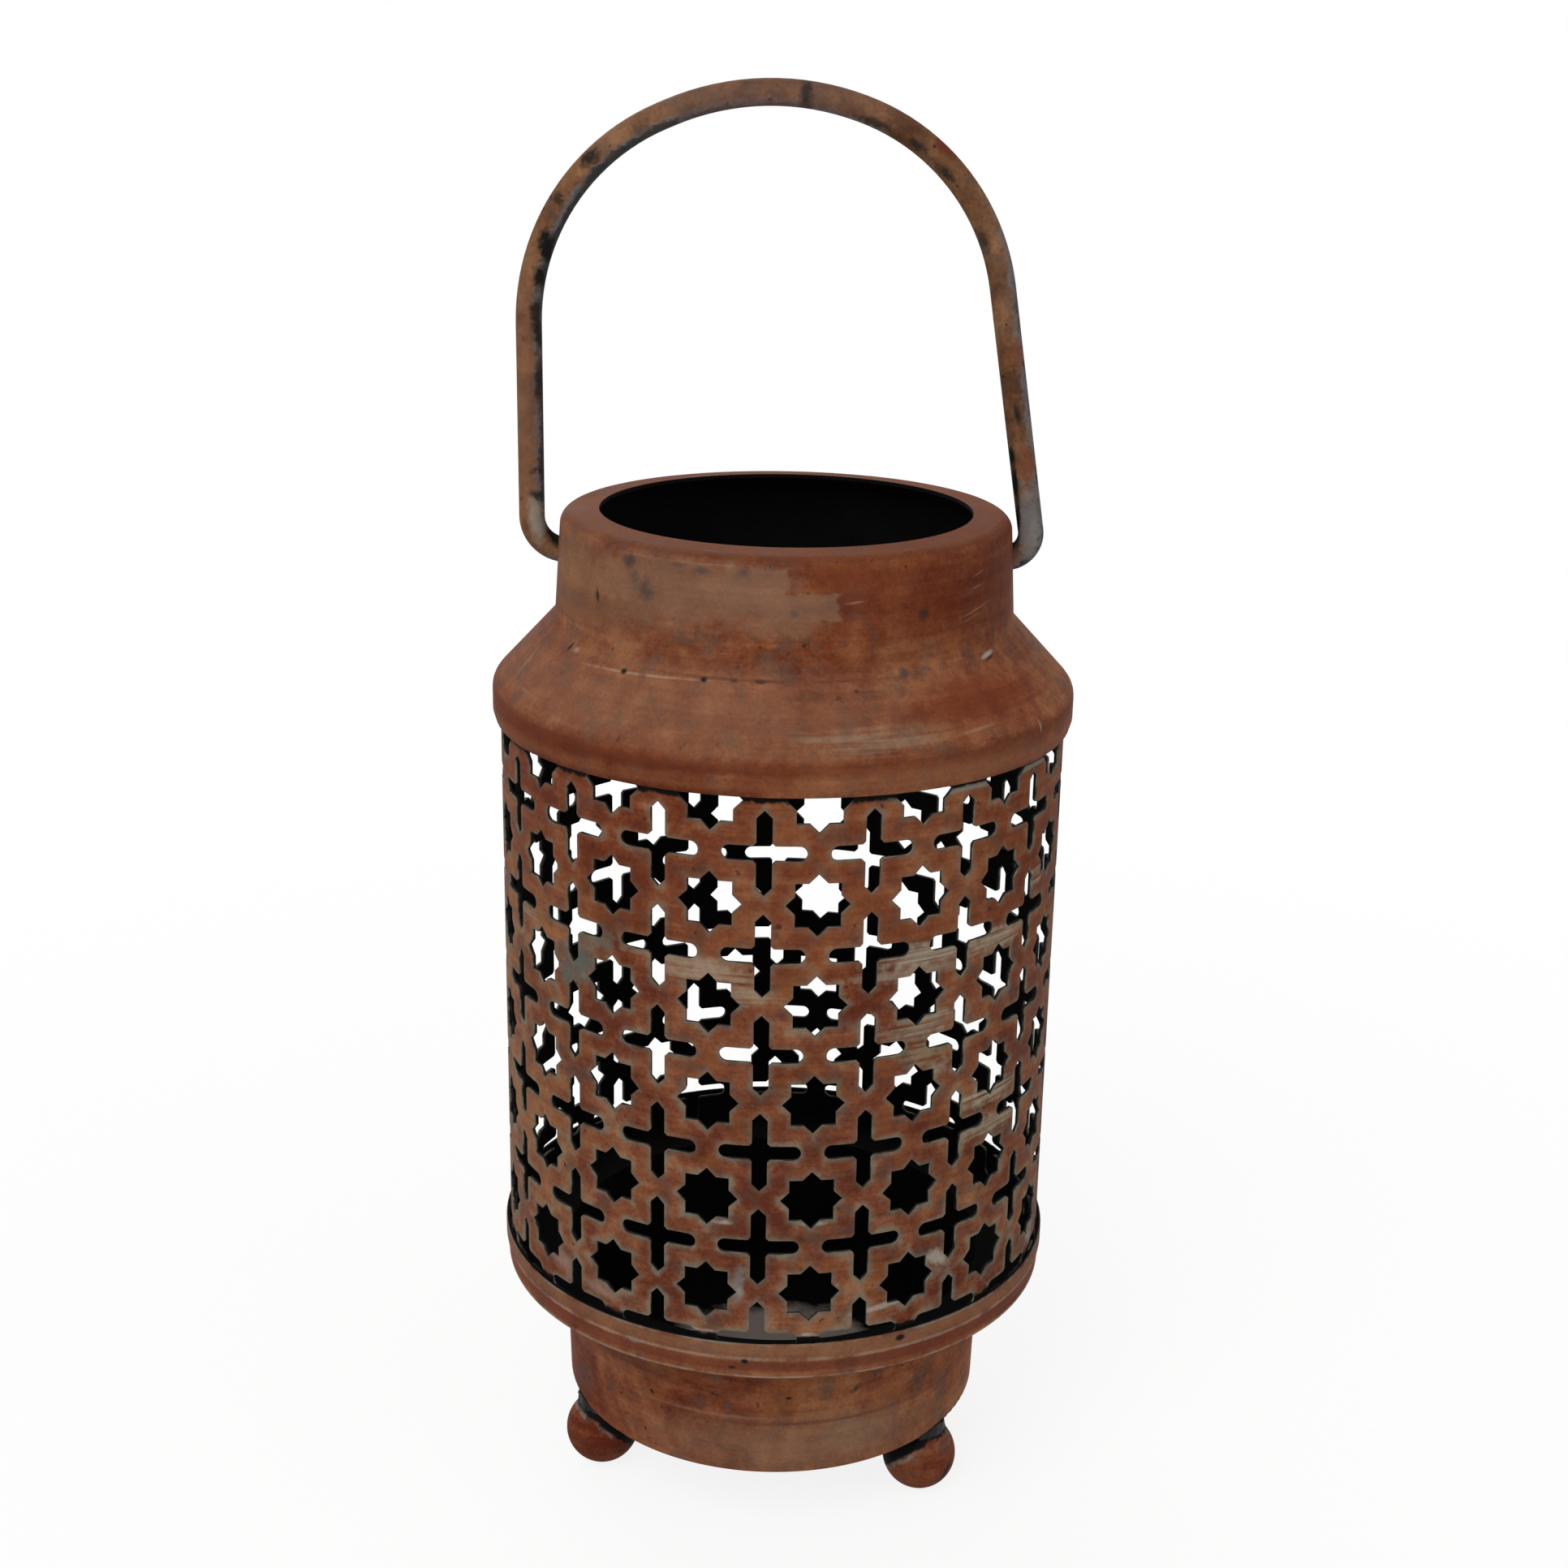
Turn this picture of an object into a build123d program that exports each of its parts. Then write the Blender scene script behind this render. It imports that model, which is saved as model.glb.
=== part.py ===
from build123d import *
import os
from math import cos, pi, radians, sin, tan

os.makedirs("parts", exist_ok=True)

# Punched tin candle lantern with ball feet and a swinging bail handle.
# Millimetres. +Z is up and Z is the lantern's axis, z = 0 is the floor under the feet,
# the front is -Y, and the bail swings about a line along X.

# Punched sheet: crosses and eight-pointed stars on a square pitch. One pitch of its length is left
# plain for the lap, and its length less the lap sets the girth of the lantern.
hole_pitch = 25.0
hole_columns = 17
hole_rows = 6
columns_left_of_front = 4
front_column_angle = -2.9
cross_length = 19.6
cross_height = 20.6
cross_arm = 3.7
cross_middle = 8.8
star_across = 15.2
sheet_thickness = 1.0
sheet_height = 157.7
first_row_rise = 9.6
lap_width = 8.0
punch_over = 1.5

# Ball feet and the welds that hold them.
foot_diameter = 19.4
foot_offset = 49.5
foot_count = 3
first_foot_angle = -66.2
weld_gap = 0.1
weld_radius = 6.5
weld_rise = 1.2

# Base cup with its flange.
cup_bottom_radius = 55.2
cup_top_radius = 56.3
cup_height = 38.3
cup_wall = 0.9
cup_corner = 1.2
flange_setback = 0.05
flange_edge = 0.25

# Rim that stands on the flange round the foot of the sheet.
rim_gap = 0.3
rim_foot_wall = 0.4
rim_bead_wall = 1.0
rim_height = 8.9
rim_bead_height = 4.2
rim_taper_height = 3.4
rim_edge = 0.35

# Shoulder: cone, rounded edge and skirt.
shoulder_wall = 1.0
cone_angle = 47.0
skirt_gap = 0.3
skirt_bulge = 0.6
skirt_height = 8.8
skirt_turn_in = 2.0
edge_round_gap = 0.05

# Neck collar with its in-turned lip.
neck_wall = 1.0
neck_foot_radius = 57.0
neck_top_radius = 55.4
neck_height = 25.1
neck_lip_rise = 0.6
mouth_radius = 46.0
collar_foot_length = 4.3
lip_corner_radius = 3.2
neck_crease_radius = 2.6

# Bail: round rod, bent by hand, so the two sides differ a little.
rod_diameter = 6.3
pin_clearance = 0.9
pin_setback = 1.2
pivot_drop = 11.4
left_arm_stand = 6.6
right_arm_stand = 5.4
left_haunch_rise = 90.0
right_haunch_rise = 95.9
right_haunch_lean = 15.7
crown_rise = 113.9
crown_shift = 6.7
crown_radius = 62.9
left_bend_radius = 8.4
right_bend_radius = 6.0
left_arch_straight = 2.0
right_arch_straight = 0.5
rod_end_chamfer = 0.8

# Heights and radii that follow from the sizes above.
girth = (hole_columns + 1) * hole_pitch - lap_width
body_radius = girth / (2 * pi) + sheet_thickness / 2
sheet_inner = body_radius - sheet_thickness
cup_bottom_z = foot_diameter + weld_gap
flange_under_z = cup_bottom_z + cup_height
flange_z = flange_under_z + cup_wall
rim_inner = body_radius + rim_gap
rim_foot_radius = rim_inner + rim_foot_wall
rim_bead_radius = rim_inner + rim_bead_wall
flange_radius = rim_foot_radius - flange_setback
rim_top_z = flange_z + rim_height

cone_slope = tan(radians(cone_angle))
skirt_lip_radius = body_radius + skirt_gap + shoulder_wall
skirt_radius = skirt_lip_radius + skirt_bulge
sheet_top_z = flange_z + sheet_height
cone_drop = shoulder_wall / cos(radians(cone_angle))
shoulder_edge_z = sheet_top_z + cone_drop - (skirt_radius - body_radius) * cone_slope
skirt_bottom_z = shoulder_edge_z - skirt_height

# The edge between cone and skirt is rounded as far as the top of the sheet leaves room.
edge_run = skirt_radius - shoulder_wall * sin(radians(cone_angle)) - body_radius - edge_round_gap
edge_half_turn = tan(radians(90 - cone_angle) / 2)
shoulder_edge_radius = edge_run / (cos(radians(cone_angle)) * edge_half_turn)


def cone_z(radius):
    """Height of the shoulder's outer face at a radius."""
    return shoulder_edge_z + (skirt_radius - radius) * cone_slope


def sheet_end_z(radius):
    """Height at which the sheet meets the underside of the cone."""
    return cone_z(radius) - cone_drop


seam_radius = neck_foot_radius + collar_foot_length * cos(radians(cone_angle))
crease_z = cone_z(neck_foot_radius)
lip_corner_z = crease_z + neck_height
lip_z = lip_corner_z + neck_lip_rise
pivot_z = lip_z - pivot_drop
neck_taper = (neck_foot_radius - neck_top_radius) / neck_height
pivot_wall_radius = neck_foot_radius - (pivot_z - crease_z) * neck_taper

# Base cup: floor, straight wall and a flat flange turned out at the top.
with BuildPart() as cup_envelope:
    with BuildSketch(Plane.XZ):
        with BuildLine():
            Polyline(
                (0, cup_bottom_z),
                (cup_bottom_radius, cup_bottom_z),
                (cup_top_radius, flange_under_z),
                (0, flange_under_z),
                close=True,
            )
        make_face()
    revolve(axis=Axis.Z)
    fillet(cup_envelope.edges().group_by(Axis.Z)[0], cup_corner)

with BuildPart() as base_cup:
    add(cup_envelope.part)
    with BuildSketch(Plane.XY.offset(flange_under_z)):
        Circle(flange_radius)
    extrude(amount=cup_wall)
    with BuildSketch(Plane.XZ):
        with BuildLine():
            Polyline(
                (0, cup_bottom_z + cup_wall),
                (cup_bottom_radius - cup_wall, cup_bottom_z + cup_wall),
                (cup_top_radius - cup_wall, flange_z),
                (0, flange_z),
                close=True,
            )
        make_face()
    revolve(axis=Axis.Z, mode=Mode.SUBTRACT)
    flange_edges = base_cup.edges().filter_by(GeomType.CIRCLE).sort_by(SortBy.RADIUS)[-2:]
    fillet(flange_edges, flange_edge)
base_cup.part.label = "base_cup"
export_step(base_cup.part, "parts/base_cup.step")

# Rim: plain inside, tapered foot and a bead outside.
with BuildPart() as base_rim:
    bead_low_z = rim_top_z - rim_bead_height
    with BuildSketch(Plane.XZ):
        with BuildLine():
            Polyline(
                (rim_inner, flange_z),
                (rim_foot_radius, flange_z),
                (rim_foot_radius, bead_low_z - rim_taper_height),
                (rim_bead_radius, bead_low_z),
                (rim_bead_radius, rim_top_z),
                (rim_inner, rim_top_z),
                close=True,
            )
        make_face()
    revolve(axis=Axis.Z)
    bead_edges = base_rim.edges().filter_by(GeomType.CIRCLE).group_by(SortBy.RADIUS)[-1]
    fillet(bead_edges, rim_edge)
base_rim.part.label = "base_rim"
export_step(base_rim.part, "parts/base_rim.step")

# Ball feet and their welds. Angles run from the front towards +X.
for number in range(foot_count):
    foot_angle = radians(first_foot_angle + number * 360 / foot_count)
    foot_x = foot_offset * sin(foot_angle)
    foot_y = -foot_offset * cos(foot_angle)
    with BuildPart() as ball_foot:
        with Locations((foot_x, foot_y, foot_diameter / 2)):
            Sphere(foot_diameter / 2)
    ball_foot.part.label = f"ball_foot_{number + 1}"
    export_step(ball_foot.part, f"parts/ball_foot_{number + 1}.step")

    with BuildPart() as foot_weld:
        with BuildSketch(Plane.XY.offset(foot_diameter / 2)):
            with Locations((foot_x, foot_y)):
                Circle(weld_radius)
        extrude(amount=foot_diameter / 2 + weld_gap + weld_rise)
        add(ball_foot.part, mode=Mode.SUBTRACT)
        add(cup_envelope.part, mode=Mode.SUBTRACT)
    foot_weld.part.label = f"foot_weld_{number + 1}"
    export_step(foot_weld.part, f"parts/foot_weld_{number + 1}.step")

# Punched body: a rolled sheet with a plain lap inside, cut to the cone at its top.
column_step = 360 * hole_pitch / girth
first_column_angle = front_column_angle - columns_left_of_front * column_step
plain_arc = 360 - (hole_columns - 0.5) * column_step
lap_arc = 360 * lap_width / girth
lap_angle = first_column_angle - (plain_arc + lap_arc) / 2

with BuildPart() as punched_body:
    with BuildSketch(Plane.XZ):
        with BuildLine():
            Polyline(
                (sheet_inner, flange_z),
                (body_radius, flange_z),
                (body_radius, sheet_end_z(body_radius)),
                (sheet_inner, sheet_end_z(sheet_inner)),
                close=True,
            )
        make_face()
    revolve(axis=Axis.Z)

    lap_inner = sheet_inner - sheet_thickness
    with BuildSketch(Plane.XZ.rotated((0, 0, lap_angle - 90))):
        with BuildLine():
            Polyline(
                (lap_inner, flange_z),
                (sheet_inner, flange_z),
                (sheet_inner, sheet_end_z(sheet_inner)),
                (lap_inner, sheet_end_z(lap_inner)),
                close=True,
            )
        make_face()
    revolve(axis=Axis.Z, revolution_arc=lap_arc)

    first_row_z = flange_z + first_row_rise
    punch_radius = sheet_inner - punch_over
    arm_side = cross_arm / 2
    arm_end = cross_height / 2
    upright_arm = [
        (arm_side, arm_end - arm_side),
        (0, arm_end),
        (-arm_side, arm_end - arm_side),
        (-arm_side, arm_side - arm_end),
        (0, -arm_end),
        (arm_side, arm_side - arm_end),
    ]
    cross_places = [(0, row * hole_pitch) for row in range(hole_rows)]
    star_places = [(0, (row + 0.5) * hole_pitch) for row in range(hole_rows)]
    for half_column in range(2 * hole_columns):
        angle = radians(first_column_angle + half_column * column_step / 2)
        column = Plane(
            origin=(punch_radius * sin(angle), -punch_radius * cos(angle), first_row_z),
            x_dir=(cos(angle), sin(angle), 0),
            z_dir=(sin(angle), -cos(angle), 0),
        )
        with BuildSketch(column):
            if half_column % 2 == 0:
                with Locations(*cross_places):
                    SlotOverall(cross_length, cross_arm)
                    Polygon(*upright_arm)
                    RegularPolygon(cross_middle / 2, 4)
            else:
                with Locations(*star_places):
                    RegularPolygon(star_across / 2, 4)
                    RegularPolygon(star_across / 2, 4, rotation=45)
    extrude(amount=body_radius - punch_radius + punch_over, mode=Mode.SUBTRACT)
punched_body.part.label = "punched_body"
export_step(punched_body.part, "parts/punched_body.step")

# Shoulder: one sheet from the collar's seam down the cone and round its edge into the skirt.
with BuildPart() as shoulder:
    with BuildSketch(Plane.XZ):
        with BuildLine() as shoulder_line:
            Polyline(
                (seam_radius, cone_z(seam_radius)),
                (skirt_radius, shoulder_edge_z),
                (skirt_radius, skirt_bottom_z + skirt_turn_in),
                (skirt_lip_radius, skirt_bottom_z),
            )
            corners = shoulder_line.vertices().sort_by(Axis.Y)
            fillet(corners[-2], shoulder_edge_radius)
            offset(amount=shoulder_wall, side=Side.RIGHT)
        make_face()
    revolve(axis=Axis.Z)
shoulder.part.label = "shoulder"
export_step(shoulder.part, "parts/shoulder.step")

# Neck collar: lip, wall and a foot that carries on the cone down to the seam.
with BuildPart() as neck_collar:
    with BuildSketch(Plane.XZ):
        with BuildLine() as neck_line:
            Polyline(
                (mouth_radius, lip_z),
                (neck_top_radius, lip_corner_z),
                (neck_foot_radius, crease_z),
                (seam_radius, cone_z(seam_radius)),
            )
            corners = neck_line.vertices().sort_by(Axis.Y)
            fillet(corners[1], neck_crease_radius)
            fillet(corners[2], lip_corner_radius)
            offset(amount=neck_wall, side=Side.RIGHT)
        make_face()
    revolve(axis=Axis.Z)
    with BuildSketch(Plane.YZ):
        with Locations((0, pivot_z)):
            Circle(rod_diameter / 2 + pin_clearance)
    extrude(amount=2 * neck_foot_radius, both=True, mode=Mode.SUBTRACT)
neck_collar.part.label = "neck_collar"
export_step(neck_collar.part, "parts/neck_collar.step")

# Bail: straight runs joined by tangent arcs, with both ends turned in through the neck.
left_x = -(pivot_wall_radius + left_arm_stand)
right_x = pivot_wall_radius + right_arm_stand
pin_end = mouth_radius + pin_setback
left_haunch = Vector(left_x, pivot_z + left_haunch_rise)
crown = Vector(-crown_shift, pivot_z + crown_rise)
right_haunch = Vector(right_x - right_haunch_lean, pivot_z + right_haunch_rise)


def half_turn(before, corner, after):
    """Tangent of half the inside angle at a corner of the bail."""
    return tan(radians((before - corner).get_angle(after - corner)) / 2)


def point(corner):
    """A corner of the bail as a place on its plane."""
    return (corner.X, corner.Y)


left_foot = Vector(left_x, pivot_z)
right_foot = Vector(right_x, pivot_z)
crown_run = crown_radius / half_turn(left_haunch, crown, right_haunch)
left_run = (crown - left_haunch).length - crown_run - left_arch_straight
right_run = (crown - right_haunch).length - crown_run - right_arch_straight
left_haunch_radius = left_run * half_turn(left_foot, left_haunch, crown)
right_haunch_radius = right_run * half_turn(right_foot, right_haunch, crown)

with BuildPart() as bail_handle:
    with BuildLine(Plane.XZ) as bail_line:
        FilletPolyline(
            (-pin_end, pivot_z),
            point(left_foot),
            point(left_haunch),
            point(crown),
            point(right_haunch),
            point(right_foot),
            (pin_end, pivot_z),
            radius=[
                left_bend_radius,
                left_haunch_radius,
                crown_radius,
                right_haunch_radius,
                right_bend_radius,
            ],
        )
    with BuildSketch(Plane(origin=bail_line.line @ 0, z_dir=bail_line.line % 0)):
        Circle(rod_diameter / 2)
    sweep()
    rod_ends = bail_handle.faces().filter_by(GeomType.PLANE)
    chamfer(rod_ends.edges(), rod_end_chamfer)
bail_handle.part.label = "bail_handle"
export_step(bail_handle.part, "parts/bail_handle.step")
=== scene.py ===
import math
import bpy
from mathutils import Matrix, Vector, noise


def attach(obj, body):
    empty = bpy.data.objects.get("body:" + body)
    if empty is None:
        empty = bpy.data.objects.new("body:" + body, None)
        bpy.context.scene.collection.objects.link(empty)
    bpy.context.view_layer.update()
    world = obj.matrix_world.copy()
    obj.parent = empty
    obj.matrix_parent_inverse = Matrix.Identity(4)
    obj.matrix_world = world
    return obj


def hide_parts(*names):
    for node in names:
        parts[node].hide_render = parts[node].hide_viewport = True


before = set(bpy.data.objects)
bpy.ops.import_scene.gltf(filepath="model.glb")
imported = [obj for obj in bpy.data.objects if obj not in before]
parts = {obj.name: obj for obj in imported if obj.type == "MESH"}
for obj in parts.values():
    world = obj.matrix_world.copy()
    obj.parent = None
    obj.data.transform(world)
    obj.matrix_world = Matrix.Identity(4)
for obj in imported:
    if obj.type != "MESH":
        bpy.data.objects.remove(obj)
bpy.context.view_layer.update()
mm = 0.001
print("frame loaded,", len(parts), "pieces")


def linear(hexColour):
    channels = [int(hexColour[i:i + 2], 16) / 255 for i in (1, 3, 5)]
    return (*[c / 12.92 if c < 0.04045 else ((c + 0.055) / 1.055) ** 2.4 for c in channels], 1.0)


def addNode(tree, kind, inputs=None, out=0, ramp=None, **settings):
    node = tree.nodes.new(kind)
    for key, value in settings.items():
        setattr(node, key, value)
    for key, value in (inputs or {}).items():
        if isinstance(value, bpy.types.NodeSocket):
            tree.links.new(value, node.inputs[key])
        else:
            node.inputs[key].default_value = value
    if ramp:
        stops = node.color_ramp.elements
        while len(stops) < len(ramp):
            stops.new(1.0)
        for stop, (place, colour) in zip(stops, ramp):
            stop.position = place
            stop.color = linear(colour)
    return node if out is None else node.outputs[out]


def newMaterial(name):
    material = bpy.data.materials.new(name)
    material.use_nodes = True
    material.node_tree.nodes.clear()
    return material, material.node_tree


# Camera: where the photograph was taken from, 560 mm in front of the lantern's axis and looking down on it
camera = {
    "place": (0.25, -559.24, 369.05),   # mm
    "turn": 0.0418, "tilt": 18.0354, "roll": 1.0592,   # degrees
    "focalPixels": 2832.857, "imagePixels": 1932, "sensor": 36.0,   # sensor in mm
    "nearest": 0.01, "farthest": 100.0,   # m
}


def setCamera():
    turn, tilt, roll = (math.radians(camera[k]) for k in ("turn", "tilt", "roll"))
    ahead = Vector((math.sin(turn) * math.cos(tilt), math.cos(turn) * math.cos(tilt), -math.sin(tilt)))
    right = Vector((math.cos(turn), -math.sin(turn), 0))
    up = right.cross(ahead)
    rolledRight = right * math.cos(roll) + up * math.sin(roll)
    rolledUp = up * math.cos(roll) - right * math.sin(roll)
    data = bpy.data.cameras.new("camera")
    data.sensor_width = camera["sensor"]
    data.lens = camera["sensor"] * camera["focalPixels"] / camera["imagePixels"]
    data.clip_start = camera["nearest"]
    data.clip_end = camera["farthest"]
    eye = bpy.data.objects.new("camera", data)
    bpy.context.scene.collection.objects.link(eye)
    axes = Matrix((rolledRight, rolledUp, -ahead)).transposed().to_4x4()
    eye.matrix_world = Matrix.Translation(Vector(camera["place"]) * mm) @ axes
    bpy.context.scene.camera = eye


setCamera()
print("camera set")

# Studio: white floor and surround, a wide lamp at the front left, a weaker one at the right and one behind
studio = {
    "worldStrength": 0.42, "floorColour": "#f4f3f1", "floorGlow": 0.86,
    "glowNear": 0.10, "glowFar": 0.55, "floorSize": 30.0, "aimHeight": 0.16,   # m
    "lamps": [   # place and size in m, power in W
        ("keyLamp", (-0.7, -1.4, 1.7), 1.3, 29.0),
        ("fillLamp", (1.6, -0.9, 0.9), 1.4, 6.0),
        ("backLamp", (-0.6, 1.6, 1.5), 1.6, 12.0),
    ],
}


def backgroundRays(tree):   # 1 for the rays that should meet plain white: seen, mirrored or passed through
    rays = addNode(tree, "ShaderNodeLightPath", out=None).outputs
    either = addNode(tree, "ShaderNodeMath", {
        0: rays["Is Camera Ray"], 1: rays["Is Glossy Ray"]}, operation="MAXIMUM")
    return addNode(tree, "ShaderNodeMath", {0: either, 1: rays["Is Transmission Ray"]}, operation="MAXIMUM")


def lightStudio():
    world = bpy.data.worlds.new("studio")
    bpy.context.scene.world = world
    world.use_nodes = True
    tree = world.node_tree
    tree.nodes.clear()
    strength = addNode(tree, "ShaderNodeMapRange", {
        0: backgroundRays(tree), 3: studio["worldStrength"], 4: 1.0})
    sky = addNode(tree, "ShaderNodeBackground", {"Color": (1, 1, 1, 1), "Strength": strength})
    addNode(tree, "ShaderNodeOutputWorld", {"Surface": sky}, out=None)
    for name, place, size, power in studio["lamps"]:
        lamp = bpy.data.lights.new(name, "AREA")
        lamp.energy = power
        lamp.size = size
        holder = bpy.data.objects.new(name, lamp)
        holder.location = place
        aim = Vector((0, 0, studio["aimHeight"])) - Vector(place)
        holder.rotation_euler = aim.to_track_quat("-Z", "Y").to_euler()
        bpy.context.scene.collection.objects.link(holder)


def layFloor():
    half = studio["floorSize"] / 2
    mesh = bpy.data.meshes.new("floor")
    corners = [(-half, -half, 0), (half, -half, 0), (half, half, 0), (-half, half, 0)]
    mesh.from_pydata(corners, [], [(0, 1, 2, 3)])
    floor = bpy.data.objects.new("floor", mesh)
    bpy.context.scene.collection.objects.link(floor)
    material, tree = newMaterial("white studio paper")   # matt, whiter further away so that no horizon shows
    paper = addNode(tree, "ShaderNodeBsdfDiffuse", {"Color": linear(studio["floorColour"])})
    glow = addNode(tree, "ShaderNodeEmission", {"Color": (1, 1, 1, 1), "Strength": 1.0})
    place = addNode(tree, "ShaderNodeTexCoord", out="Object")
    away = addNode(tree, "ShaderNodeVectorMath", {0: place}, out=1, operation="LENGTH")
    share = addNode(tree, "ShaderNodeMapRange", {
        0: away, 1: studio["glowNear"], 2: studio["glowFar"], 3: studio["floorGlow"], 4: 1.0})
    share = addNode(tree, "ShaderNodeMath", {0: share, 1: backgroundRays(tree)}, operation="MULTIPLY")
    surface = addNode(tree, "ShaderNodeMixShader", {0: share, 1: paper, 2: glow})
    addNode(tree, "ShaderNodeOutputMaterial", {"Surface": surface}, out=None)
    mesh.materials.append(material)


lightStudio()
layFloor()
print("studio lit")

# Terracotta paint, brushed by hand over black primer on tin plate and then rubbed back.
# A matt skin with level brush strokes: redder where it is thick, pale and dusty where it was rubbed,
# with black primer in the pits and grey-green tin along the worn edges.
# Sizes and the bump's height are in mm, and a range is where a cloud's effect starts and where it is full.
shellPaint = {
    "deep": "#562312", "mid": "#6f3d26", "pale": "#835639", "toneRange": (0.77, 1.08),
    "toneShares": {"strokes": 0.35, "areas": 0.8, "mottle": 0.55, "grain": 0.15},
    "strokeLength": 70.0, "strokeHeight": 2.6, "lineLength": 26.0, "lineHeight": 0.8,
    "areaSize": 42.0, "mottleSize": 7.0, "grainSize": 0.9,
    "ochre": "#7d4a26", "ochreSize": 15.0, "ochreRange": (0.52, 0.68), "ochreShare": 0.6,
    "fraySize": 2.4, "frayGain": 1.6, "frayShift": -1.1, "strokeFray": 0.6,
    "smudge": "#4a3d36", "smudgeSize": 6.0, "smudgeRange": (0.53, 0.65), "smudgeShare": 0.55,
    "speck": "#1d1714", "speckSize": 2.6, "speckRange": (0.68, 0.73), "speckShare": 0.85,
    "relief": {"grain": 0.4, "strokes": 0.5, "mottle": 0.8}, "bump": 0.26, "bumpStrength": 0.5,
    "lineWear": 0.2, "wearRange": (0.68, 1.18), "wearTone": (0.8, 1.2),
    "roughRange": (0.3, 0.7), "roughness": (0.6, 0.82), "specular": 0.07,
}


def paintPlace(tree):   # where a point is, in mm
    place = addNode(tree, "ShaderNodeTexCoord", out="Object")
    return addNode(tree, "ShaderNodeVectorMath", {0: place, 3: 1 / mm}, operation="SCALE")


def awayFromAxis(tree, place):   # mm from the lantern's axis
    level = addNode(tree, "ShaderNodeVectorMath", {0: place, 1: (1, 1, 0)}, operation="MULTIPLY")
    return addNode(tree, "ShaderNodeVectorMath", {0: level}, out=1, operation="LENGTH")


def unroll(tree, along, height, scale):   # the surface laid flat: mm along, mm up
    along = addNode(tree, "ShaderNodeMath", {0: along, 1: scale}, operation="MULTIPLY")
    return addNode(tree, "ShaderNodeCombineXYZ", {0: along, 1: height})


def lay(tree, below, colour, cloud, edge, share=1.0, within=()):   # paint over where a cloud passes an edge
    start, full = edge
    mask = addNode(tree, "ShaderNodeMapRange", {0: cloud, 1: start, 2: full, 4: share})
    for limit in within:
        mask = addNode(tree, "ShaderNodeMath", {0: mask, 1: limit}, operation="MULTIPLY")
    return addNode(tree, "ShaderNodeMix", {0: mask, 6: below, 7: linear(colour)}, out=2, data_type="RGBA")


# A worn or stained patch of paint is an oval or a square with a frayed edge. A broken one shows only where
# the mottle is high, and a lined one only along the fine lines.
usualPatch = {"slope": 0, "square": False, "soft": 0.2, "ragged": 0.8, "strength": 1.0}   # slope in degrees
gapEdge = 0.1   # how softly a broken or lined patch ends
allRound = 9000   # mm, wider than any piece is round


def addPatches(tree, colour, patches, flat, perUnit, weave):   # perUnit: mm for one unit sideways
    for marks in patches:
        patch = dict(usualPatch, **marks)
        along, height = patch["at"]
        across, tall = patch["size"]
        oval = addNode(tree, "ShaderNodeMapping", {
            "Vector": flat, "Location": (along * perUnit, height, 0),
            "Rotation": (0, 0, math.radians(patch["slope"])),
            "Scale": (across / 2, tall / 2, 1)}, vector_type="TEXTURE")
        if patch["square"]:
            sides = addNode(tree, "ShaderNodeVectorMath", {0: oval}, operation="ABSOLUTE")
            sides = addNode(tree, "ShaderNodeSeparateXYZ", {0: sides}, out=None).outputs
            reach = addNode(tree, "ShaderNodeMath", {0: sides[0], 1: sides[1]}, operation="MAXIMUM")
        else:
            reach = addNode(tree, "ShaderNodeVectorMath", {0: oval}, out=1, operation="LENGTH")
        reach = addNode(tree, "ShaderNodeMath", {
            0: weave["fray"], 1: patch["ragged"], 2: reach}, operation="MULTIPLY_ADD")
        gaps = []
        for gap, cloud in (("broken", "mottle"), ("lined", "lines")):
            if gap in patch:
                gaps.append(addNode(tree, "ShaderNodeMapRange", {
                    0: weave[cloud], 1: patch[gap] - gapEdge, 2: patch[gap] + gapEdge}))
        edge = (1 + patch["soft"], 1 - patch["soft"])
        colour = lay(tree, colour, patch["colour"], reach, edge, patch["strength"], gaps)
    return colour


def levelCloud(tree, place, length, height, detail, roughness):   # a cloud drawn out level, in mm
    drawn = addNode(tree, "ShaderNodeVectorMath", {
        0: place, 1: (1 / length, 1 / length, 1 / height)}, operation="MULTIPLY")
    return addNode(tree, "ShaderNodeTexNoise", {
        "Vector": drawn, "Scale": 1.0, "Detail": detail, "Roughness": roughness})


def weigh(tree, clouds, shares):   # the sum of some clouds, each times its share
    total = 0.0
    for name, share in shares.items():
        total = addNode(tree, "ShaderNodeMath", {
            0: clouds[name], 1: share, 2: total}, operation="MULTIPLY_ADD")
    return total


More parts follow.
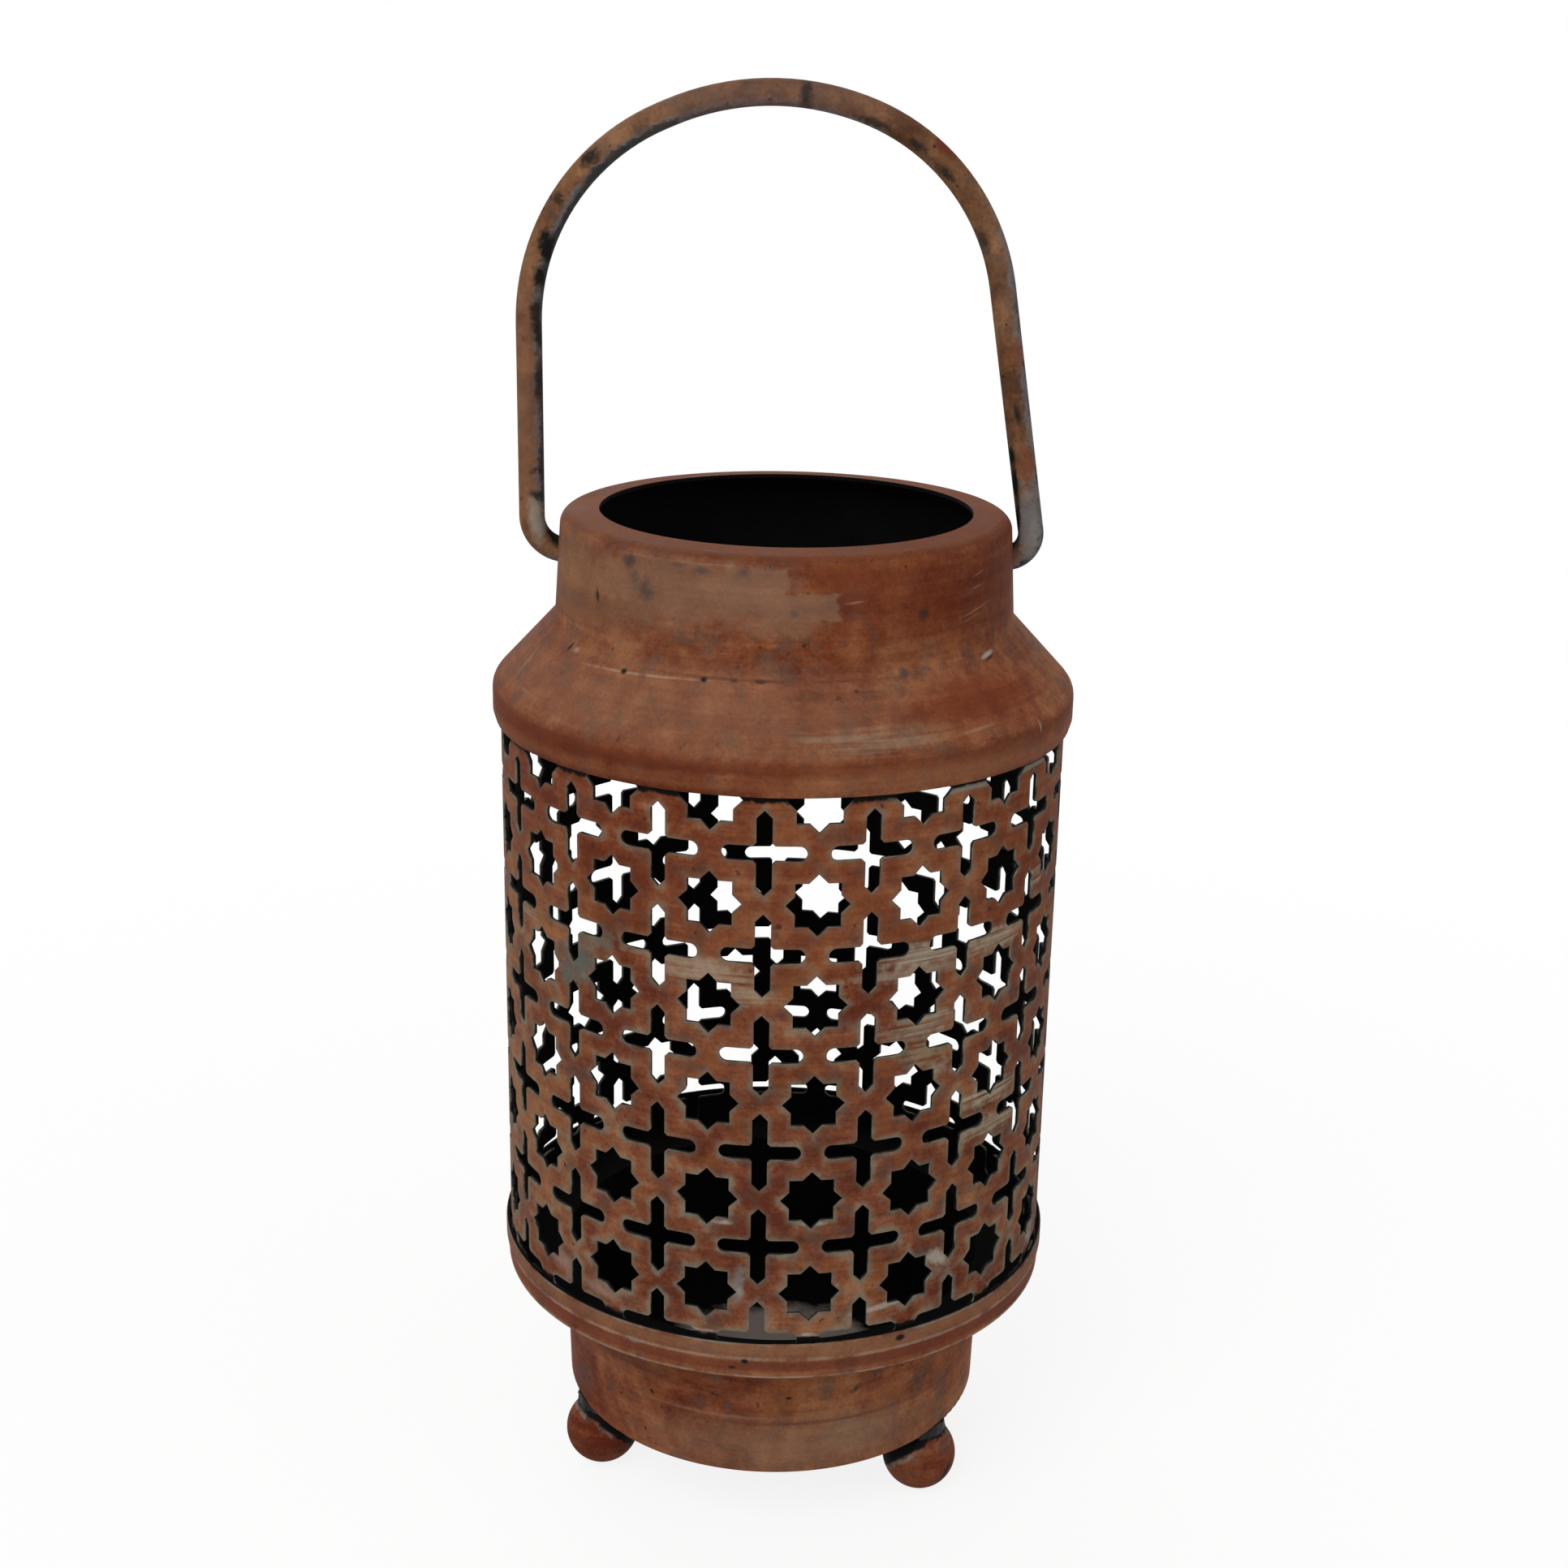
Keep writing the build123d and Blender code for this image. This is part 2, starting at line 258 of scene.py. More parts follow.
def paintBase(tree, look, place):
    weave = {
        "strokes": levelCloud(
            tree, place, look["strokeLength"], look["strokeHeight"], detail=5.0, roughness=0.62),
        "lines": levelCloud(tree, place, look["lineLength"], look["lineHeight"], detail=2.0, roughness=0.5),
        "areas": addNode(tree, "ShaderNodeTexNoise", {
            "Vector": place, "Scale": 1 / look["areaSize"],
            "Detail": 3.0, "Roughness": 0.55, "Distortion": 0.6}),
        "mottle": addNode(tree, "ShaderNodeTexNoise", {
            "Vector": place, "Scale": 1 / look["mottleSize"], "Detail": 5.0, "Roughness": 0.6}),
        "grain": addNode(tree, "ShaderNodeTexNoise", {
            "Vector": place, "Scale": 1 / look["grainSize"], "Detail": 2.0}),
    }
    start, full = look["toneRange"]
    tone = weigh(tree, weave, look["toneShares"])
    tone = addNode(tree, "ShaderNodeMapRange", {0: tone, 1: start, 2: full})
    colour = addNode(tree, "ShaderNodeValToRGB", {0: tone}, ramp=[
        (0.0, look["deep"]), (0.5, look["mid"]), (1.0, look["pale"])])
    ochre = addNode(tree, "ShaderNodeTexNoise", {
        "Vector": place, "Scale": 1 / look["ochreSize"], "Detail": 4.0, "Roughness": 0.6, "Distortion": 0.8})
    colour = lay(tree, colour, look["ochre"], ochre, look["ochreRange"], look["ochreShare"])
    fray = addNode(tree, "ShaderNodeTexNoise", {
        "Vector": place, "Scale": 1 / look["fraySize"], "Detail": 4.0, "Roughness": 0.6})
    fray = addNode(tree, "ShaderNodeMath", {
        0: fray, 1: look["frayGain"], 2: look["frayShift"]}, operation="MULTIPLY_ADD")
    weave["fray"] = addNode(tree, "ShaderNodeMath", {   # about -0.4 to 0.4
        0: weave["strokes"], 1: look["strokeFray"], 2: fray}, operation="MULTIPLY_ADD")
    return colour, weave


def smudges(tree, look, place, colour):   # grime rubbed into the paint, and small pits down to the primer
    for mark, detail in (("smudge", 4.0), ("speck", 3.0)):
        cloud = addNode(tree, "ShaderNodeTexNoise", {
            "Vector": place, "Scale": 1 / look[mark + "Size"], "Detail": detail})
        colour = lay(tree, colour, look[mark], cloud, look[mark + "Range"], look[mark + "Share"])
    return colour


def paintSkin(tree, look, colour, weave):
    start, full = look["roughRange"]
    smooth, rough = look["roughness"]
    roughness = addNode(tree, "ShaderNodeMapRange", {
        0: weave["mottle"], 1: start, 2: full, 3: smooth, 4: rough})
    height = weigh(tree, weave, look["relief"])
    start, full = look["wearRange"]
    dark, light = look["wearTone"]
    wear = addNode(tree, "ShaderNodeMath", {
        0: weave["lines"], 1: look["lineWear"], 2: height}, operation="MULTIPLY_ADD")
    wear = addNode(tree, "ShaderNodeMapRange", {0: wear, 1: start, 2: full, 3: dark, 4: light})
    colour = addNode(tree, "ShaderNodeVectorMath", {0: colour, 3: wear}, operation="SCALE")
    bump = addNode(tree, "ShaderNodeBump", {
        "Strength": look["bumpStrength"], "Distance": look["bump"] * mm, "Height": height})
    skin = addNode(tree, "ShaderNodeBsdfPrincipled", {
        "Base Color": colour, "Roughness": roughness, "Normal": bump, "Specular IOR Level": look["specular"]})
    addNode(tree, "ShaderNodeOutputMaterial", {"Surface": skin}, out=None)


def terracotta(name, radius, patches, edges=None, under=None):
    material, tree = newMaterial(name)
    place = paintPlace(tree)
    axes = addNode(tree, "ShaderNodeSeparateXYZ", {0: place}, out=None).outputs
    forward = addNode(tree, "ShaderNodeMath", {0: axes[1], 1: -1.0}, operation="MULTIPLY")
    angle = addNode(tree, "ShaderNodeMath", {0: axes[0], 1: forward}, operation="ARCTAN2")   # from the front
    height = axes[2]
    colour, weave = paintBase(tree, shellPaint, place)
    colour = smudges(tree, shellPaint, place, colour)
    if edges:
        colour = edges(tree, colour, angle, height, weave)
    if under:   # under an edge the marks run along a slope that falls towards the axis
        away = awayFromAxis(tree, place)
        raised = addNode(tree, "ShaderNodeMath", {
            0: away, 1: -under["slope"], 2: under["edge"] * under["slope"]}, operation="MULTIPLY_ADD")
        height = addNode(tree, "ShaderNodeMath", {0: height, 1: raised}, operation="ADD")
    flat = unroll(tree, angle, height, radius)
    colour = addPatches(tree, colour, patches, flat, math.radians(radius), weave)
    paintSkin(tree, shellPaint, colour, weave)
    return material


# Soot-black paint inside: dead matt, so that the holes look into the dark. The same black is painted shade on
# the skirt's bottom edge and the rim's top edge.
soot = {
    "colour": "#030303", "ash": "#080706", "ashRange": (0.4, 0.75), "size": 9.0,   # mm
    "bump": 0.2, "bumpStrength": 0.4, "roughness": 0.92, "specular": 0.08,   # bump height in mm
}


def sootSkin(tree, cloud):   # colour and relief of the soot
    start, full = soot["ashRange"]
    colour = addNode(tree, "ShaderNodeValToRGB", {0: cloud}, ramp=[
        (start, soot["colour"]), (full, soot["ash"])])
    bump = addNode(tree, "ShaderNodeBump", {
        "Strength": soot["bumpStrength"], "Distance": soot["bump"] * mm, "Height": cloud})
    return colour, bump


def sootInsideAndGapShade():
    material, tree = newMaterial("soot-black paint inside the shell")
    place = paintPlace(tree)
    cloud = addNode(tree, "ShaderNodeTexNoise", {"Vector": place, "Scale": 1 / soot["size"], "Detail": 4.0})
    colour, bump = sootSkin(tree, cloud)
    black = addNode(tree, "ShaderNodeBsdfPrincipled", {
        "Base Color": colour, "Roughness": soot["roughness"],
        "Specular IOR Level": soot["specular"], "Normal": bump})
    addNode(tree, "ShaderNodeOutputMaterial", {"Surface": black}, out=None)
    return material


# Dust in the cup: pale ash and wax dust where a candle stood in the middle of the floor, over the soot
dust = {
    "colour": "#9c8f87", "middle": (0.0, -5.0, 0.0), "floor": 22.0, "size": 8.0,   # mm
    "half": (36.0, 31.0, 1000.0),   # mm, so tall that its height doesn't count
    "ragged": 0.5, "edge": (1.3, 1.1), "share": 0.95, "roughness": 0.9, "specular": 0.08,
}


def dustInside():
    material, tree = newMaterial("dust over soot-black paint in the cup")
    place = paintPlace(tree)
    axes = addNode(tree, "ShaderNodeSeparateXYZ", {0: place}, out=None).outputs
    cloud = addNode(tree, "ShaderNodeTexNoise", {"Vector": place, "Scale": 1 / dust["size"], "Detail": 5.0})
    disc = addNode(tree, "ShaderNodeMapping", {
        "Vector": place, "Location": dust["middle"], "Scale": dust["half"]}, vector_type="TEXTURE")
    disc = addNode(tree, "ShaderNodeVectorMath", {0: disc}, out=1, operation="LENGTH")
    disc = addNode(tree, "ShaderNodeMath", {0: cloud, 1: dust["ragged"], 2: disc}, operation="MULTIPLY_ADD")
    low = addNode(tree, "ShaderNodeMath", {0: axes[2], 1: dust["floor"]}, operation="LESS_THAN")
    colour, bump = sootSkin(tree, cloud)
    colour = lay(tree, colour, dust["colour"], disc, dust["edge"], dust["share"], [low])
    floor = addNode(tree, "ShaderNodeBsdfPrincipled", {
        "Base Color": colour, "Roughness": dust["roughness"],
        "Specular IOR Level": dust["specular"], "Normal": bump})
    addNode(tree, "ShaderNodeOutputMaterial", {"Surface": floor}, out=None)
    return material


# Tin plate at the cut edges of the holes: a dull grey-green line at the outside, soot from inside behind it
cutEdge = {
    "colour": "#7d7a69", "dirt": "#3b362d", "dirtRange": (0.42, 0.6), "size": 4.0,   # mm
    "sootRange": (70.35, 70.1), "ragged": 0.5,   # mm from the axis
    "roughness": 0.65, "specular": 0.2,
}


def cutTin():
    material, tree = newMaterial("dull tin plate at the cut edges")
    place = paintPlace(tree)
    dirt = addNode(tree, "ShaderNodeTexNoise", {"Vector": place, "Scale": 1 / cutEdge["size"], "Detail": 4.0})
    start, full = cutEdge["dirtRange"]
    colour = addNode(tree, "ShaderNodeValToRGB", {0: dirt}, ramp=[
        (start, cutEdge["colour"]), (full, cutEdge["dirt"])])
    away = addNode(tree, "ShaderNodeMath", {
        0: dirt, 1: -cutEdge["ragged"], 2: awayFromAxis(tree, place)}, operation="MULTIPLY_ADD")
    colour = lay(tree, colour, soot["colour"], away, cutEdge["sootRange"])
    tin = addNode(tree, "ShaderNodeBsdfPrincipled", {
        "Base Color": colour, "Roughness": cutEdge["roughness"], "Specular IOR Level": cutEdge["specular"]})
    addNode(tree, "ShaderNodeOutputMaterial", {"Surface": tin}, out=None)
    return material


def dress(piece, materials, choose=None):   # choose picks a face's material from its centre and normal
    mesh = piece.data
    mesh.materials.clear()
    for material in materials:
        mesh.materials.append(material)
    if choose:
        mesh.polygons.foreach_set("material_index", [choose(f.center, f.normal) for f in mesh.polygons])


def outwardness(centre, normal):   # 1 faces away from the axis, -1 towards it
    reach = math.hypot(centre.x, centre.y) or 1.0
    return (centre.x * normal.x + centre.y * normal.y) / reach


# How far a face has to turn before it counts as facing that way
faceTurn = {"inward": -0.2, "downward": -0.3, "upward": 0.5, "rimOutward": 0.3, "sheetOutward": 0.5}


black = sootInsideAndGapShade()
dusty = dustInside()
tin = cutTin()
print("inside blackened")

# Neck and shoulder: rubbed tan over the neck's left half with a sharp stepped end, scratches from handling,
# and a pale worn line at the foot of the collar with the highlight of its lapped edge painted in.
# Painted light and shade too: paler on the cone's upper left, darker and redder to the right, a darker lip,
# and a dark crease under the shoulder's edge with a lighter band on the skirt below it.
# Places are degrees from the front and mm up, sizes are mm.
neckPatches = [
    # painted light: the cone paler on its left, where it faces up
    dict(at=(-28, 223.5), size=(120, 16), colour="#7b5540", soft=0.6, strength=0.6),
    # painted shade: cone and neck darker and redder on the right
    dict(at=(45, 224.0), size=(36, 12), colour="#672913", soft=0.5, strength=0.75),
    dict(at=(30, 247.0), size=(50, 22), colour="#5f2a15", soft=0.6, strength=0.6, ragged=0.8),
    dict(at=(66, 247.0), size=(52, 27), colour="#4b1603", soft=0.6, strength=0.8, ragged=0.6),
    dict(at=(12, 252.4), size=(26, 8.5), colour="#64301b", soft=0.5, strength=0.65),
    dict(at=(-60, 240.0), size=(56, 9), colour="#664230", soft=0.6, strength=0.7),
    dict(at=(-58, 248.6), size=(86, 15), colour="#70503a", soft=0.7, ragged=0.9, strength=0.7),
    dict(at=(-24, 249.0), size=(53, 14.5), colour="#745340", soft=0.3, ragged=0.8, strength=0.8),
    dict(at=(-6.3, 250.6), size=(15, 9.6), colour="#755441",
         square=True, soft=0.08, ragged=0.35, strength=0.85),
    dict(at=(5.0, 246.7), size=(16.0, 6.2), colour="#755441",
         square=True, soft=0.1, ragged=0.5, strength=0.85),
    dict(at=(0.5, 243.0), size=(17, 5.6), colour="#73523d", soft=0.35, ragged=1.0, strength=0.8),
    dict(at=(-24, 255.7), size=(46, 0.5), colour="#866b55", soft=0.5, ragged=0.9, strength=0.6, broken=0.47),
    # painted shade: the lip, which faces up, darkened
    dict(at=(0, 258.2), size=(allRound, 2.6), colour="#5f3521", soft=0.3, ragged=0.8, strength=0.62),
    # painted shade in the crease under the shoulder's edge
    dict(at=(0, 213.6), size=(allRound, 3.8), colour="#5b2a16", soft=0.5, ragged=0.8, strength=0.75),
    dict(at=(-56, 211.0), size=(70, 9), colour="#562512", soft=0.6, ragged=0.8, strength=0.6),
    # painted light on the bulge of the skirt below the crease
    dict(at=(0, 209.4), size=(allRound, 2.6), colour="#75462c", soft=0.6, ragged=0.9, strength=0.45),
    dict(at=(34, 210.2), size=(52, 6), colour="#744a33", soft=0.6, ragged=0.9, strength=0.65),
    dict(at=(17, 219.0), size=(26, 4.0), colour="#86705c", soft=0.6, strength=0.6, ragged=1.2, lined=0.46),
    # pale worn line along the collar's lapped edge, with its highlight painted in
    dict(at=(-33, 229.2), size=(30, 0.5), colour="#947660",
         slope=2.3, soft=0.5, ragged=0.9, strength=0.8, broken=0.42),
    dict(at=(55, 231.0), size=(5.6, 0.8), colour="#8c8577", slope=7, soft=0.4, ragged=0.7),
    dict(at=(55, 230.3), size=(4.0, 0.6), colour="#2c1d16", slope=7, soft=0.4, ragged=0.7, strength=0.8),
    dict(at=(53, 242.0), size=(12, 0.4), colour="#795543", slope=9, soft=0.5, ragged=0.6, strength=0.8),
    dict(at=(51, 240.4), size=(9, 0.35), colour="#745040", slope=9, soft=0.5, ragged=0.6, strength=0.7),
    dict(at=(53, 247.3), size=(4.5, 0.45), colour="#775341", slope=5, soft=0.5, ragged=0.6, strength=0.8),
    dict(at=(54, 250.3), size=(4.5, 0.4), colour="#72503f", slope=9, soft=0.5, ragged=0.6, strength=0.8),
    dict(at=(16.5, 247.7), size=(4.2, 0.5), colour="#7b5c47", slope=6, soft=0.5, ragged=0.6, strength=0.8),
    dict(at=(40, 218.6), size=(9, 0.6), colour="#86684f", slope=3, soft=0.6, ragged=0.8, strength=0.7),
    dict(at=(57, 215.5), size=(0.7, 2.4), colour="#857a69", soft=0.5, ragged=0.6, strength=0.8),
    dict(at=(-72, 224.0), size=(1.2, 6.0), colour="#836757", slope=12, soft=0.7, ragged=0.9, strength=0.6),
    dict(at=(-64, 220.5), size=(8, 1.6), colour="#836859",
         slope=-10, soft=0.7, ragged=1.2, strength=0.6, lined=0.46),
    dict(at=(-51, 244.2), size=(1.2, 3.0), colour="#171615", slope=12, soft=0.4, ragged=0.9, strength=0.85),
    dict(at=(-40, 254.0), size=(3.4, 3.2), colour="#352f2b", soft=0.5, ragged=1.5, strength=0.75),
    dict(at=(-35, 248.3), size=(5.0, 4.4), colour="#3f3731", soft=0.6, ragged=1.6, strength=0.7),
    dict(at=(-38, 251.0), size=(3.0, 2.4), colour="#473d35", soft=0.6, ragged=1.6, strength=0.6),
    dict(at=(-26, 254.9), size=(2.8, 1.0), colour="#48443d", soft=0.6, ragged=1.2, strength=0.75),
    dict(at=(-19.5, 254.2), size=(3.2, 1.4), colour="#453d3a", soft=0.6, ragged=1.2, strength=0.75),
    dict(at=(-9.2, 254.6), size=(2.4, 1.6), colour="#483e39", soft=0.6, ragged=1.2, strength=0.7),
    dict(at=(2.3, 245.3), size=(2.0, 1.6), colour="#483f3c", soft=0.6, ragged=1.2, strength=0.6),
    dict(at=(34.5, 243.6), size=(3.0, 2.6), colour="#2d1f18", soft=0.6, ragged=1.4, strength=0.75),
    dict(at=(28, 231.0), size=(2.8, 1.6), colour="#3b352f", soft=0.5, ragged=1.3, strength=0.75),
    dict(at=(34, 231.3), size=(3.0, 1.4), colour="#453a37", soft=0.5, ragged=1.3, strength=0.7),
    dict(at=(-58.6, 230.4), size=(1.0, 2.0), colour="#191716", slope=-20, soft=0.4, ragged=0.7),
    dict(at=(-55.6, 230.2), size=(2.2, 1.0), colour="#8e7d71", soft=0.6, ragged=0.9, strength=0.7),
    dict(at=(-37.5, 229.1), size=(1.7, 1.1), colour="#221c1a", soft=0.4, ragged=0.8),
    dict(at=(-17.6, 230.0), size=(1.5, 1.0), colour="#221a18", soft=0.4, ragged=0.8),
    dict(at=(-10.8, 230.2), size=(1.6, 0.8), colour="#3b2a24", soft=0.5, ragged=0.8, strength=0.8),
    dict(at=(-4.8, 230.3), size=(2.6, 0.8), colour="#2f211c", soft=0.5, ragged=0.8, strength=0.85),
    dict(at=(0, 230.4), size=(62, 0.6), colour="#4c2f24", soft=0.5, ragged=0.8, strength=0.7, broken=0.5),
]
neckPaint = terracotta("brushed terracotta paint on the neck and shoulder", radius=60.0, patches=neckPatches)


def neckSide(centre, normal):   # 0 outside, 1 inside and underneath; underneath includes the skirt's bottom edge, painted black as painted shade under the skirt
    return int(outwardness(centre, normal) < faceTurn["inward"] or normal.z < faceTurn["downward"])


for name in ("neck_collar", "shoulder"):
    dress(parts[name], [neckPaint, black], neckSide)
print("neck and shoulder painted")

# Punched sheet: paint worn off round the holes and streaked by rubbing, with painted shade: black bands where
# rim and skirt meet it
punch = {
    "pitch": 25.0, "sheetRadius": 70.35, "firstRow": 68.3,   # mm
    "frontAngle": -2.9, "lapAngle": -97.0,   # degrees from the front
    "punchedSpan": (-106.5, 320.0), "spanEdge": 2.0,   # mm round the sheet from the front column
    "crossLength": 19.6, "crossHeight": 20.6, "crossArm": 3.7, "crossMiddle": 8.8, "starAcross": 15.2,   # mm
    "line": "#666051", "lineWidth": 1.4, "lineFray": 0.7,   # mm
    "chipRange": (0.42, 0.62), "chipShare": (0.3, 0.95),
    "rub": "#7b6c5a", "rubWidth": 2.6, "rubRange": (0.57, 0.67), "rubShare": 0.8,   # mm
    "footWear": 0.08, "footWearFrom": 130.0, "footWearFull": 75.0,   # more wear towards the foot, mm up
}


def holeEdge(tree, around, height):   # mm from the edge of the nearest hole
    half, root = punch["pitch"] / 2, math.sqrt(0.5)
    arm, point, square = punch["crossArm"] / 2, punch["crossHeight"] / 2, punch["crossMiddle"] / 2
    star = punch["starAcross"] / 2
    rise = addNode(tree, "ShaderNodeMath", {0: height, 1: -punch["firstRow"]}, operation="ADD")
    # mm from a cross's middle, sideways and up or down
    aside = addNode(tree, "ShaderNodeMath", {0: around, 1: half}, operation="PINGPONG")
    above = addNode(tree, "ShaderNodeMath", {0: rise, 1: half}, operation="PINGPONG")
    slant = addNode(tree, "ShaderNodeMath", {0: aside, 1: above}, operation="ADD")
    # the cross: a level bar with round ends, an upright one with pointed ends, a square in the middle
    past = addNode(tree, "ShaderNodeMath", {0: aside, 1: arm - punch["crossLength"] / 2}, operation="ADD")
    past = addNode(tree, "ShaderNodeMath", {0: past, 1: 0.0}, operation="MAXIMUM")
    level = addNode(tree, "ShaderNodeCombineXYZ", {0: past, 1: above})
    level = addNode(tree, "ShaderNodeVectorMath", {0: level}, out=1, operation="LENGTH")
    level = addNode(tree, "ShaderNodeMath", {0: level, 1: -arm}, operation="ADD")
    side = addNode(tree, "ShaderNodeMath", {0: aside, 1: -arm}, operation="ADD")
    tip = addNode(tree, "ShaderNodeMath", {0: slant, 1: root, 2: -point * root}, operation="MULTIPLY_ADD")
    upright = addNode(tree, "ShaderNodeMath", {0: side, 1: tip}, operation="MAXIMUM")
    middle = addNode(tree, "ShaderNodeMath", {0: slant, 1: root, 2: -square * root}, operation="MULTIPLY_ADD")
    # the star between four crosses: a square on its corner and a level one
    diamond = addNode(tree, "ShaderNodeMath", {
        0: slant, 1: -root, 2: (punch["pitch"] - star) * root}, operation="MULTIPLY_ADD")
    nearer = addNode(tree, "ShaderNodeMath", {0: aside, 1: above}, operation="MINIMUM")
    block = addNode(tree, "ShaderNodeMath", {0: half - star * root, 1: nearer}, operation="SUBTRACT")
    edge = level
    for other in (upright, middle, diamond, block):
        edge = addNode(tree, "ShaderNodeMath", {0: edge, 1: other}, operation="MINIMUM")
    return edge


def wornHoles(tree, colour, angle, height, weave):
    front, lap = math.radians(punch["frontAngle"]), math.radians(punch["lapAngle"] - punch["frontAngle"])
    around = addNode(tree, "ShaderNodeMath", {0: angle, 1: -front}, operation="ADD")
    around = addNode(tree, "ShaderNodeMath", {0: around, 1: lap + math.tau, 2: lap}, operation="WRAP")
    around = addNode(tree, "ShaderNodeMath", {0: around, 1: punch["sheetRadius"]}, operation="MULTIPLY")
    first, last = punch["punchedSpan"]
    punched = addNode(tree, "ShaderNodeMath", {0: around, 1: -(first + last) / 2}, operation="ADD")
    punched = addNode(tree, "ShaderNodeMath", {0: punched}, operation="ABSOLUTE")
    punched = addNode(tree, "ShaderNodeMapRange", {   # 0 on the plain lap
        0: punched, 1: (last - first) / 2 + punch["spanEdge"], 2: (last - first) / 2})
    low = addNode(tree, "ShaderNodeMapRange", {
        0: height, 1: punch["footWearFrom"], 2: punch["footWearFull"], 4: punch["footWear"]})
    worn = addNode(tree, "ShaderNodeMath", {0: weave["mottle"], 1: low}, operation="ADD")
    edge = holeEdge(tree, around, height)
    wide = addNode(tree, "ShaderNodeMapRange", {0: edge, 1: punch["rubWidth"], 2: 0.0})
    colour = lay(tree, colour, punch["rub"], worn, punch["rubRange"], punch["rubShare"], [wide, punched])
    start, full = punch["chipRange"]
    least, most = punch["chipShare"]
    chips = addNode(tree, "ShaderNodeMapRange", {0: worn, 1: start, 2: full, 3: least, 4: most})
    near = addNode(tree, "ShaderNodeMath", {
        0: weave["fray"], 1: punch["lineFray"], 2: edge}, operation="MULTIPLY_ADD")
    return lay(tree, colour, punch["line"], near, (punch["lineWidth"], 0.0), within=[chips, punched])


sheetPatches = [
    dict(at=(0, 112.0), size=(allRound, 106), colour="#66503f", soft=0.35, strength=0.1),
    dict(at=(0, 188.0), size=(allRound, 46), colour="#66341d", soft=0.4, strength=0.32),
    dict(at=(-41.5, 159.4), size=(8.5, 9.5), colour="#505650", soft=0.5, ragged=1.5, strength=0.9),
    dict(at=(-45, 154.4), size=(5.5, 5.5), colour="#53574e", soft=0.5, ragged=1.5, strength=0.8),
    dict(at=(-36.5, 166.0), size=(8.0, 4.6), colour="#645e51", soft=0.5, ragged=1.5, strength=0.8),
    dict(at=(-58, 165.5), size=(10, 3.4), colour="#7d7365", slope=8, soft=0.5, ragged=1.4, lined=0.45),
    dict(at=(-18, 165.6), size=(22, 2.4), colour="#83715e", soft=0.6, ragged=1.2, strength=0.9, lined=0.46),
    dict(at=(-13, 163.0), size=(20, 4.0), colour="#8a7763",
         slope=-3, soft=0.5, ragged=1.2, strength=0.95, lined=0.44),
    dict(at=(-7, 158.6), size=(14, 4.2), colour="#83705e",
         slope=-3, soft=0.5, ragged=1.2, strength=0.95, lined=0.44),
    dict(at=(30, 166.2), size=(25, 5.4), colour="#8b806f", soft=0.4, ragged=1.2, lined=0.46),
    dict(at=(47, 165.4), size=(20, 5.0), colour="#8b806e", soft=0.4, ragged=1.2, lined=0.46),
    dict(at=(25, 161.8), size=(28, 2.6), colour="#80705f", soft=0.5, ragged=1.2, strength=0.9, lined=0.46),
    dict(at=(62, 176.0), size=(11, 4.0), colour="#8a8271",
         slope=14, soft=0.5, ragged=1.2, strength=0.9, lined=0.46),
    dict(at=(29, 148.2), size=(17, 6.0), colour="#857a68",
         slope=5, soft=0.5, ragged=1.3, strength=0.95, lined=0.46),
    dict(at=(29, 140.4), size=(10, 6.0), colour="#7a6b55", soft=0.5, ragged=1.4, strength=0.9, lined=0.44),
    dict(at=(34, 136.0), size=(6, 3.4), colour="#878072", soft=0.5, ragged=1.3, strength=0.9, broken=0.46),
    dict(at=(48.5, 124.2), size=(22, 4.4), colour="#8c836f", soft=0.4, ragged=1.2, lined=0.46),
    dict(at=(49, 115.8), size=(24, 4.4), colour="#857a67", soft=0.4, ragged=1.2, strength=0.95, lined=0.46),
    dict(at=(-6.7, 83.3), size=(2.6, 8.5), colour="#6a6361", soft=0.5, ragged=1.3, strength=0.85),
    dict(at=(-6.2, 81.0), size=(2.0, 2.6), colour="#80786f", soft=0.5, ragged=1.2, strength=0.8),
    dict(at=(34.6, 84.4), size=(5.6, 3.4), colour="#91887d", slope=-24, soft=0.5, ragged=1.4, strength=0.9),
    dict(at=(-10.2, 99.4), size=(5.0, 1.0), colour="#8d867c", soft=0.5, ragged=1.2, broken=0.5),
    dict(at=(7.6, 99.6), size=(5.0, 1.0), colour="#8d867c", soft=0.5, ragged=1.2, broken=0.48),
    dict(at=(14.5, 97.5), size=(9.0, 1.6), colour="#4e3a37", soft=0.6, ragged=0.9, strength=0.7),
    dict(at=(-49, 76.0), size=(11, 5.0), colour="#86695c", slope=-24, soft=0.6, ragged=0.9, strength=0.75),
    dict(at=(-37, 73.0), size=(9, 2.6), colour="#866a5e", slope=-10, soft=0.6, ragged=0.9, strength=0.75),
    dict(at=(22, 75.0), size=(12, 1.4), colour="#968c80", slope=8, soft=0.5, ragged=0.8, strength=0.75),
    dict(at=(70, 74.0), size=(7, 6.0), colour="#8a867e", soft=0.5, ragged=1.2, broken=0.5),
    # painted shade: black band in the gap under the shoulder's skirt
    dict(at=(0, 206.7), size=(allRound, 2.8), colour="#0a0908", soft=0.25, ragged=1.3),
    dict(at=(48, 205.2), size=(52, 1.3), colour="#77756a", soft=0.4, ragged=0.9, strength=0.8),
    # painted shade: black band in the gap above the base rim
    dict(at=(0, 67.2), size=(allRound, 3.6), colour="#080707", soft=0.2, ragged=1.2),
    dict(at=(2, 69.5), size=(60, 0.8), colour="#9a938a", soft=0.4, ragged=0.8, broken=0.54),
]
sheetPaint = terracotta(
    "brushed terracotta paint on the punched sheet", radius=70.8, patches=sheetPatches, edges=wornHoles)


def sheetFace(centre, normal):   # 0 outside, 1 inside, 2 cut edge
    out = outwardness(centre, normal)
    return 0 if out > faceTurn["sheetOutward"] else 1 if out < -faceTurn["sheetOutward"] else 2


dress(parts["punched_body"], [sheetPaint, black, tin], sheetFace)
print("punched sheet painted")
